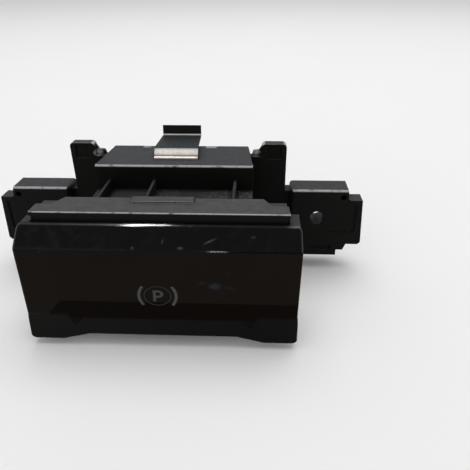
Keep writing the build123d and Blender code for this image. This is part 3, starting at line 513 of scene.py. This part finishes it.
def thicken(mesh, depth):
    """Gives flat faces in the XZ plane a thickness towards -Y."""
    made = bmesh.ops.extrude_face_region(mesh, geom=mesh.faces[:])["geom"]
    moved = [g for g in made if isinstance(g, bmesh.types.BMVert)]
    bmesh.ops.translate(mesh, vec=(0, -depth, 0), verts=moved)


# ---------------------------------------------------------------- finishes shared by pieces


def moulded(
    name,
    colour,
    dust_and_sheen,
    grain=0.35,
    dust=0.5,
    shine=0.07,
    rough=0.5,
    edge=0.3,
    worn=(),
    shade_rightwards=0.0,
    neck=False,
):
    """A moulded plastic with fine grain, flow marks, painted highlights on its edges, and dust with a
    painted sheen on its top faces that leaves painted shade in pockets.
    """
    finish = Finish(name)
    soft = finish.soft(edge)
    rise, across = finish.part(soft, "Z"), finish.part(soft, "X")
    cloud = finish.noise(7.0, 4.0, 0.6)
    fine = finish.noise(grain, 3.0, 0.6)
    pits = finish.cells(grain * 0.8)
    scuff = sum(finish.scratches(*line) for line in MOULDED_HAIRS)
    scuff = (scuff * finish.noise(16.0).step(0.4, 0.6)).clamped()
    upward = rise.step(0.55, 0.97)
    # A painted highlight band on rounded edges between front and top faces, broken up by noise
    edge_glint = rise.step(0.3, 0.6) * (1 - rise.step(0.93, 0.995)) * finish.noise(2.2, 3.0).step(0.2, 0.5)

    # Dust with a painted sheen lies on open top faces and stays out of pockets, which leaves painted
    # shade there; a little painted sheen lies on faces that look back or sideways
    dust_and_sheen_share = upward * finish.open(2.5) * (0.8 + 0.2 * finish.noise(3.5, 5.0, 0.7).step(0.3, 0.7))
    away = finish.part(soft, "Y").step(0.2, 0.8) * 0.3 + (across * across).step(0.4, 0.9) * 0.16
    patches = 0.4 + 0.6 * finish.noise(3.0, 5.0, 0.65).step(0.3, 0.7)
    dust_and_sheen_share = (dust_and_sheen_share + away * patches).clamped()
    # Edges of faces that don't look up are lightened: a painted edge highlight
    edge_light = finish.edges(soft) * (1 - upward) * (0.12 + away)
    grit = finish.specks(0.9, 0.12, 0.16) + finish.specks(2.1, 0.1, 0.3, 5.0)
    grit = grit * (0.15 + 0.85 * upward)
    # The neck's floor keeps less of it, as painted shade
    if neck:
        floor = finish.boxed(NECK, 0.3)
        dust_and_sheen_share = dust_and_sheen_share * (1 - floor * (0.2 + 0.3 * finish.noise(4.0, 4.0, 0.7)))

    base = finish.layers(
        finish.between(colour, 0.75, 1.3, cloud),
        (shade(colour, 2.2), fine.step(0.45, 0.8) * 0.25),
        (shade(colour, 5.0), scuff * 0.5 + edge_light),
    )
    # Painted shade that deepens towards +X
    if shade_rightwards:
        base = finish.mix(base, BLACK, finish.part(finish.place, "X").step(-38.0, 42.0) * shade_rightwards)
    mottle = fine * 0.35 + finish.noise(2.4, 5.0, 0.7).step(0.3, 0.7) * 0.65
    # Dust and painted sheen over the top faces
    base = finish.mix(base, finish.between(dust_and_sheen, 0.76, 1.2, mottle), dust_and_sheen_share)
    if worn:
        # Painted highlights along the rounded crests in the boxes that worn gives
        base = finish.mix(base, EDGE_GLINT_GREY, (edge_glint * finish.boxed(worn)).clamped())
    base = finish.mix(base, shade(sizes("colours").dust, 1.3), (grit * dust).clamped() * 0.55)
    if neck:
        base = neck_marks(finish, base, floor)
    finish.set(
        Base_Color=base,
        Roughness=(rough + (cloud - 0.5) * 0.16 + dust_and_sheen_share * 0.1 - edge_glint * 0.12).clamped(),
        Specular_IOR_Level=shine,
    )
    finish.bump(fine * 0.6 + pits * 0.4 - scuff * 0.5 + grit, 0.35, 0.03, soft)
    return finish


def neck_marks(finish, base, floor):
    """Crumbs of dirt on the neck's floor, and painted highlights on the webs beside the ears and on two
    spots at the block's rear edge.
    """
    crumbs = finish.specks(1.3, 0.42, 0.4, 3.0) + finish.noise(0.9, 3.0, 0.7).step(0.48, 0.62)
    spread = finish.within("X", 12.0, 31.0, 3.0) + finish.within("X", -8.0, 2.0, 2.0) * 0.5
    crumbs = crumbs * floor * finish.within("Y", -15.0, -6.0, 2.0) * spread
    dirt = finish.mix(GREY_DIRT, RUSTY_DIRT, finish.noise(1.5, 1.0).step(0.5, 0.6))
    # Painted highlights on the webs beside the ears
    web_glints = finish.dabs(WEB_GLINTS) * finish.within("Y", 3.0, 9.0)
    web_glints = web_glints * finish.noise(1.2, 4.0, 0.7).step(0.3, 0.5)
    # Painted highlights on two spots at the block's rear edge
    rear_glints = finish.boxed(REAR_GLINTS, 0.4) * 0.7
    return finish.layers(base, (dirt, crumbs.clamped() * 0.7), (WEB_GLINT_GREY, (web_glints + rear_glints).clamped()))


def metal(name, colour, rough, grain=0.1, along=(1.0, 1.0, 1.0)):
    """A plain metal with fine drawn lines and a few stains."""
    finish = Finish(name)
    lines = finish.noise(grain, 3.0, 0.6, place=finish.turned(stretch=along))
    stain = finish.noise(1.5, 3.0).step(0.5, 0.8)
    base = finish.between(colour, 0.8, 1.1, lines)
    finish.set(
        Base_Color=finish.mix(base, shade(colour, 0.45), stain * 0.5),
        Metallic=1.0,
        Roughness=(rough + lines * 0.15 + stain * 0.15).clamped(),
    )
    finish.bump(lines, 0.15, 0.01, finish.soft(0.1))
    return finish


# ---------------------------------------------------------------- operators


class SWITCH_OT_cover(bpy.types.Operator):
    """Finishes the gloss black cover, with its scratches, dust and scuffs"""

    bl_idname = "brake_switch.cover"
    bl_label = "Gloss cover"

    def execute(self, context):
        colours = sizes("colours")
        finish = Finish("gloss_cover")
        across, height = finish.part(finish.place, "X"), finish.part(finish.place, "Z")
        soft = finish.soft(1.1)
        cloud = finish.noise(14.0, 3.0)
        upper = height.step(11.4, 12.4)

        # Hairline scratches, wiped blotches and dust
        hair = sum(finish.scratches(*line) for line in COVER_HAIRS)
        marks = (hair * finish.noise(18.0, 2.0).step(0.42, 0.62)).clamped()
        wiped = finish.noise(3.2, 4.0, 0.6).step(0.45, 0.8) * upper
        wiped = wiped * (0.35 + 0.65 * (1 - across.step(-26.0, -12.0)))
        dust = finish.specks(1.3, 0.09, 0.12) + finish.specks(2.6, 0.12, 0.1, 7.0) * 0.8
        scuffs = finish.dabs(SCUFFS)
        smudge = finish.dabs(SMUDGES) * (0.5 + 0.5 * finish.noise(0.8, 3.0).step(0.35, 0.6))

        # A painted dark reflection over the face's lowest part, with a slanted end on the left
        low = finish.within("Z", *LOW_REFLECTION_Z)
        low = low * (across + 31.7 - (height + 5.5) * 0.863).step(-0.6, 0.6)

        # Polished edges mirror the lamps: along the top, down the upper band's ends and on the crease
        rise, turn = finish.part(soft, "Z"), abs(finish.part(soft, "X"))
        top = rise.step(0.715, 0.8) * (1 - rise.step(0.97, 0.995))
        top = top * (1 - 0.85 * across.step(2.0, 9.0) * (1 - across.step(38.0, 42.0)))
        top = top * (0.65 + 0.35 * across.step(-20.0, -12.0))
        ends = turn.step(0.2, 0.45) * (1 - turn.step(0.93, 0.99)) * upper
        crease = finish.within("Z", *CREASE_Z, 0.15)
        glint = crease * finish.within("X", *GLINT_X, 1.2)
        mirror = (top + ends + glint * 0.9).clamped()

        base = finish.layers(
            finish.between(colours.face, 0.85, 1.15, cloud),
            (PAINTED_LOW_REFLECTION, low),
            (shade(colours.grip, 0.9), 1 - height.step(-12.8, -12.4)),
            (finish.between(colours.cover, 0.8, 1.2, cloud), upper),
            (WIPED, wiped * 0.8),
            (HAIRLINE, marks * 0.4),
            (SCUFFED, (scuffs * 0.7 + dust * 0.3).clamped()),
            (SMUDGED, smudge.clamped()),
            # Painted highlight along the crease's left part and painted shade along its right part
            (CREASE_HIGHLIGHT, crease * (1 - across.step(-24.0, -4.0)) * 0.7),
            (CREASE_SHADE, crease * across.step(21.0, 24.0)),
            (POLISHED, mirror),
        )
        rough = 0.1 + cloud * 0.06 + marks * 0.25 + dust * 0.3 + scuffs * 0.3
        finish.set(
            Base_Color=base,
            Roughness=(rough * (1 - mirror * 0.6)).clamped(),
            Specular_IOR_Level=0.035,
            Metallic=mirror,
            IOR=1.5,
        )
        height = marks * -1.0 + dust * 0.5 + finish.noise(6.0, 2.0) * 0.4
        finish.bump(height, 0.2, 0.01, soft)
        finish.on("handle_cover")
        return {"FINISHED"}


class SWITCH_OT_grip(bpy.types.Operator):
    """Finishes the matte lip, cheeks and plate that carry the cover"""

    bl_idname = "brake_switch.grip"
    bl_label = "Grip"

    def execute(self, context):
        colours = sizes("colours")
        dust_and_sheen = shade(colours.dust_and_sheen, 0.6)
        # The grip gets painted shade that deepens to the right, and a darker share of the dust and
        # painted sheen
        finish = moulded("grip", colours.grip, dust_and_sheen, grain=0.3, dust=0.25, edge=0.35, shade_rightwards=0.52)
        finish.on("handle_carrier")
        return {"FINISHED"}


class SWITCH_OT_trim(bpy.types.Operator):
    """Finishes the shelf over the collar"""

    bl_idname = "brake_switch.trim"
    bl_label = "Trim"

    def execute(self, context):
        colours = sizes("colours")
        colour, look = shade(colours.housing, 1.2), {"grain": 0.28, "dust": 0.4, "edge": 0.4}
        moulded("trim_grey", colour, colours.trim, worn=TRIM_CRESTS, **look).on("top_trim")
        return {"FINISHED"}


class SWITCH_OT_housing(bpy.types.Operator):
    """Finishes the housing, its neck, block, wings and ears, and the rear cover"""

    bl_idname = "brake_switch.housing"
    bl_label = "Housing"

    def execute(self, context):
        colours = sizes("colours")
        pair = (colours.housing, colours.dust_and_sheen)
        look = {"grain": 0.32, "dust": 0.8, "edge": 0.45}
        moulded("housing_black", *pair, worn=HOUSING_CRESTS, neck=True, **look).on("housing")
        moulded("rear_black", *pair, grain=0.4, dust=0.5).on("rear_cover")
        return {"FINISHED"}


class SWITCH_OT_clip(bpy.types.Operator):
    """Finishes the bent steel clip on the block, with painted shade on its ramp, leaf, tab, foot and
    bend
    """

    bl_idname = "brake_switch.clip"
    bl_label = "Spring clip"

    def execute(self, context):
        colour = sizes("colours").steel
        finish = Finish("spring_steel")
        lines = finish.turned(stretch=(0.06, 1.0, 1.0))
        brushed = finish.noise(0.12, 4.0, 0.7, place=lines)
        broad = finish.noise(0.9, 2.0, place=lines)
        grain = finish.noise(0.5, 4.0, 0.7)
        stain = finish.noise(3.0, 4.0, 0.65).step(0.45, 0.75)
        worn = finish.noise(0.6, 5.0, 0.75).step(0.3, 0.7)

        # The flat leaf behind the ramp, the small tab at its end, the ramp's foot and its upper bend,
        # each darkened as painted shade, and the ramp darkened towards its top and foot as painted
        # shade
        along, height = finish.part(finish.place, "Y"), finish.part(finish.place, "Z")
        leaf = along.step(0.9, 1.7)
        tab = height.step(28.0, 28.3) * along.step(16.5, 17.2)
        foot = finish.within("Z", 25.0, 25.4, 0.15) * (1 - leaf)
        bend = finish.within("Z", 27.6, 28.0, 0.2) * along.step(16.6, 17.2)
        ramp_shade = 0.85 * height.step(26.7, 27.9) + 0.5 * (1 - height.step(25.1, 26.3))
        ramp_shade = ramp_shade + 0.1 * (1 - height.step(24.9, 25.1))

        base = finish.layers(
            finish.between(colour, 0.6, 1.35, brushed * 0.5 + worn * 0.5),
            (CLIP_SHADE, ramp_shade),
            (CLIP_FOOT_SHADE, foot),
            (finish.mix(LEAF_SHADE_DARK, LEAF_SHADE_PALE, grain), leaf),
            (CLIP_STAIN, stain * (1 - leaf) * 0.2),
            (CLIP_TAB_SHADE, tab),
            (shade(colour, 0.7), bend),
        )
        finish.set(
            Base_Color=base,
            Metallic=(1.0 - leaf * 0.65 - tab * 0.3).clamped(),
            Roughness=(0.3 + brushed * 0.2 + stain * 0.1 + leaf * 0.15).clamped(),
            Specular_IOR_Level=0.1,
        )
        finish.bump(brushed + broad * 0.4, 0.25, 0.01, finish.soft(0.12))
        finish.on("spring_clip")
        return {"FINISHED"}


class SWITCH_OT_guides(bpy.types.Operator):
    """Finishes the clear light pipe and the milky diffuser"""

    bl_idname = "brake_switch.guides"
    bl_label = "Light guides"

    def execute(self, context):
        for name, node, colour in (
            ("clear_guide", "light_pipe", (0.75, 0.78, 0.8)),
            ("milky_guide", "symbol_diffuser", (0.8, 0.8, 0.78)),
        ):
            finish = Finish(name)
            cloud = finish.noise(4.0, 3.0)
            finish.set(
                Base_Color=finish.between(colour, 0.9, 1.1, cloud),
                Roughness=0.15 + cloud * 0.15,
            )
            finish.bump(finish.noise(0.6, 2.0), 0.1, 0.01, finish.soft(0.15))
            finish.on(node)
        return {"FINISHED"}


class SWITCH_OT_mechanism(bpy.types.Operator):
    """Finishes the pins, stops, slider, magnets and springs"""

    bl_idname = "brake_switch.mechanism"
    bl_label = "Mechanism"

    def execute(self, context):
        pins = metal("pin_steel", (0.55, 0.55, 0.55), 0.25, along=(0.05, 1, 1))
        pins.on("pivot_pin_left", "pivot_pin_right")
        metal("coil_steel", (0.5, 0.5, 0.5), 0.3).on("front_springs", "rear_spring")
        metal("magnet_grey", (0.3, 0.3, 0.31), 0.35).on("slider_magnets")
        rubber, cream = (0.012, 0.012, 0.012), (0.62, 0.6, 0.55)
        look = {"grain": 0.2, "dust": 0.2, "shine": 0.2, "rough": 0.75, "edge": 0.2}
        moulded("stop_rubber", rubber, shade(rubber, 1.5), **look).on("stop_pads")
        look = {"grain": 0.3, "dust": 0.1, "shine": 0.5, "rough": 0.4, "edge": 0.2}
        moulded("slider_plastic", cream, cream, **look).on("switch_slider")
        return {"FINISHED"}


class SWITCH_OT_electronics(bpy.types.Operator):
    """Finishes the board, its parts and the connector"""

    bl_idname = "brake_switch.electronics"
    bl_label = "Electronics"

    def execute(self, context):
        green = sizes("colours").board
        board = Finish("board_mask")
        weave = board.cells(0.5, board.turned(stretch=(1.0, 1.0, 0.2)))
        tracks = board.node("ShaderNodeTexBrick", None, board.place, out="Fac", Scale=0.12)
        base = board.between(green, 0.8, 1.25, weave)
        board.set(
            Base_Color=board.mix(base, shade(green, 2.2), tracks * 0.5),
            Roughness=0.3 + weave * 0.1,
        )
        board.bump(tracks, 0.2, 0.02, board.soft(0.1))
        board.on("circuit_board")
        look = {"grain": 0.2, "dust": 0.1, "shine": 0.4, "rough": 0.4, "edge": 0.1}
        for name, colour, nodes in (
            ("chip_black", (0.015, 0.015, 0.016), ("controller_chip", "position_sensors")),
            ("part_tan", (0.3, 0.2, 0.12), ("board_components",)),
            ("lamp_white", (0.7, 0.68, 0.55), ("indicator_light",)),
            ("header_black", (0.018, 0.018, 0.018), ("connector_header",)),
        ):
            moulded(name, colour, shade(colour, 1.1), **look).on(*nodes)
        metal("contact_brass", (0.72, 0.55, 0.28), 0.25).on("connector_pins")
        metal("screw_zinc", (0.6, 0.6, 0.62), 0.3).on("board_screws")
        return {"FINISHED"}


class SWITCH_OT_sign(bpy.types.Operator):
    """Prints the parking brake pictogram on the cover's lower face"""

    bl_idname = "brake_switch.sign"
    bl_label = "Printed sign"

    def execute(self, context):
        size = sizes("sign")
        place = self.place_on_cover(size)

        ring = bmesh.new()
        arc(ring, size.ring_line, size.ring, 0, 360, 72)
        self.press(ring, "sign_ring", place, size, RING_LEVEL)

        brackets = bmesh.new()
        inset = size.bracket - size.reach
        for middle, centre in ((180, inset), (0, -inset)):
            start = middle - BRACKET_SWEEP / 2
            arc(brackets, size.bracket_line, size.bracket, start, BRACKET_SWEEP, 24, (centre, 0))
        self.press(brackets, "sign_brackets", place, size, BRACKET_LEVEL)

        letter = bmesh.new()
        top, stroke = size.letter / 2, size.stroke
        bowl = size.letter * BOWL_SHARE
        left = -STEM_SHARE * bowl
        strip(letter, (left, -top), (left + stroke, top))
        for high in (top, top - 2 * bowl + stroke):
            strip(letter, (left + stroke, high - stroke), (left + bowl, high))
        arc(letter, stroke, bowl - stroke / 2, -90, 180, 16, (left + bowl, top - bowl))
        self.press(letter, "sign_letter", place, size, LETTER_LEVEL)
        return {"FINISHED"}

    def place_on_cover(self, size):
        """Where the sign lies: on the cover, leaning as its face does, and a little squashed."""
        cover = surface_of("handle_cover")
        hits = []
        for rise in (-PROBE_RISE, PROBE_RISE):
            start = Vector((-size.offset, COVER_FRONT - PROBE_REACH, size.height + rise))
            hits.append(cover.ray_cast(start, Vector((0, 1, 0)))[0])
        if None in hits:
            raise RuntimeError("the sign has no cover behind it")
        lean = math.atan2(hits[1].y - hits[0].y, hits[1].z - hits[0].z)
        place = Matrix.Translation((hits[0] + hits[1]) / 2) @ Matrix.Rotation(-lean, 4, "X")
        return place @ Matrix.Diagonal((1, 1, size.tall, 1))

    def press(self, mesh, name, place, size, level):
        """Gives a flat shape its thickness, sets it on the cover and prints it pale."""
        bmesh.ops.remove_doubles(mesh, verts=mesh.verts, dist=MERGE)
        thicken(mesh, size.proud)
        bmesh.ops.transform(mesh, matrix=place, verts=mesh.verts)
        piece = settle(name, mesh, "handle")
        finish = Finish(name)
        wear = finish.noise(0.5, 3.0) * 0.5 + finish.noise(2.5, 2.0) * 0.5
        finish.set(
            Base_Color=finish.between(sizes("colours").sign, 0.6 * level, 1.15 * level, wear),
            Roughness=0.35 + wear * 0.2,
            Specular_IOR_Level=0.2,
        )
        finish.on(piece)


class SWITCH_OT_stage(bpy.types.Operator):
    """Lays the pale floor and sets the lamps, the world and the camera"""

    bl_idname = "brake_switch.stage"
    bl_label = "Stage"

    def execute(self, context):
        size = sizes("stage")
        context.scene.view_settings.view_transform = "Standard"
        self.floor(size.floor)
        context.scene.world = self.world(size.sky)
        self.lamp("overhead", (0.1, 0.35, 1.5), (0, 0, 0), 1.4, size.key)
        self.lamp("front", (-0.7, -1.2, 0.7), (0, 0, 0), 0.8, size.fill)
        for name, values in STRIPS.items():
            self.lamp(name, *values)
        context.scene.camera = self.camera(size.lens)
        return {"FINISHED"}

    def floor(self, radius):
        """A pale round floor just under the object."""
        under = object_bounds()[0].z - 0.2 * MM
        mesh = bmesh.new()
        bmesh.ops.create_circle(mesh, cap_ends=True, segments=96, radius=radius)
        bmesh.ops.translate(mesh, vec=(0, 0, under), verts=mesh.verts)
        floor = placed("floor", mesh)
        finish = Finish("floor_white")
        finish.set(
            Base_Color=finish.mix(FLOOR_DARK, FLOOR_PALE, finish.noise(90.0, 2.0)),
            Roughness=0.9,
            Specular_IOR_Level=0.0,
        )
        finish.on(floor)
        floor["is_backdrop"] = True

    def world(self, strength):
        """A world that lights the object plainly and is white where it is seen or mirrored."""
        world = bpy.data.worlds.new("studio")
        world.use_nodes = True
        shader = Shader(world.node_tree)
        seen = shader.node("ShaderNodeLightPath", out="Is Camera Ray")
        for ray in ("Is Glossy Ray", "Is Transmission Ray"):
            seen = seen.math("MAXIMUM", seen, shader.node("ShaderNodeLightPath", out=ray))
        level = shader.node("ShaderNodeMapRange", None, seen, 0.0, 1.0, strength, 1.0)
        back = shader.node("ShaderNodeBackground", None, WHITE, level)
        shader.node("ShaderNodeOutputWorld", None, back)
        return world

    def lamp(self, name, place, target, side, power, width=0.0):
        """A soft square lamp that looks at a point, or a strip that only reflections show."""
        light = bpy.data.lights.new(name, "AREA")
        light.shape = "RECTANGLE" if width else "SQUARE"
        light.size = side
        light.size_y = width or side
        light.energy = power
        lamp = bpy.data.objects.new(name, light)
        lamp.visible_diffuse = not width
        lamp.location = place
        lamp.rotation_mode = "QUATERNION"
        lamp.rotation_quaternion = (Vector(target) - Vector(place)).to_track_quat("-Z", "Y")
        bpy.context.scene.collection.objects.link(lamp)

    def camera(self, lens):
        """The camera, where the photograph was taken from."""
        camera = bpy.data.cameras.new("camera")
        camera.sensor_width = SENSOR_WIDTH
        camera.lens = lens / MM
        camera.clip_start, camera.clip_end = NEAREST, FARTHEST
        eye = bpy.data.objects.new("camera", camera)
        place = Matrix.Translation(CAMERA_PLACE)
        for angle, axis in ((CAMERA_YAW, "Z"), (CAMERA_TILT, "X"), (CAMERA_ROLL, "Z")):
            place = place @ Matrix.Rotation(math.radians(angle), 4, axis)
        eye.matrix_world = place
        bpy.context.scene.collection.objects.link(eye)
        return eye


STEPS = (
    SWITCH_OT_cover,
    SWITCH_OT_grip,
    SWITCH_OT_trim,
    SWITCH_OT_housing,
    SWITCH_OT_clip,
    SWITCH_OT_guides,
    SWITCH_OT_mechanism,
    SWITCH_OT_electronics,
    SWITCH_OT_sign,
    SWITCH_OT_stage,
)
GROUPS = {"colours": SwitchColours, "sign": SignSizes, "stage": StageSizes}


class VIEW3D_PT_brake_switch(bpy.types.Panel):
    """Sidebar panel with the steps and their sizes"""

    bl_idname = "VIEW3D_PT_brake_switch"
    bl_label = "Brake Switch"
    bl_space_type = "VIEW_3D"
    bl_region_type = "UI"
    bl_category = "Brake Switch"

    def draw(self, context):
        for step in STEPS:
            self.layout.operator(step.bl_idname, text=step.bl_label)
        for name, group in GROUPS.items():
            box = self.layout.box()
            box.label(text=name.capitalize())
            for key in group.__annotations__:
                box.prop(sizes(name), key)


def register():
    """Registers the sizes, the steps and the panel."""
    for name, group in GROUPS.items():
        bpy.utils.register_class(group)
        setattr(bpy.types.Scene, "brake_switch_" + name, bpy.props.PointerProperty(type=group))
    for step in STEPS:
        bpy.utils.register_class(step)
    bpy.utils.register_class(VIEW3D_PT_brake_switch)


def unregister():
    """Takes them away again."""
    bpy.utils.unregister_class(VIEW3D_PT_brake_switch)
    for step in reversed(STEPS):
        bpy.utils.unregister_class(step)
    for name, group in reversed(GROUPS.items()):
        delattr(bpy.types.Scene, "brake_switch_" + name)
        bpy.utils.unregister_class(group)


def main():
    """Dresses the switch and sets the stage."""
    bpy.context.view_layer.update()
    register()
    for step in STEPS:
        getattr(bpy.ops.brake_switch, step.bl_idname.split(".")[1])()


if __name__ == "__main__":
    main()
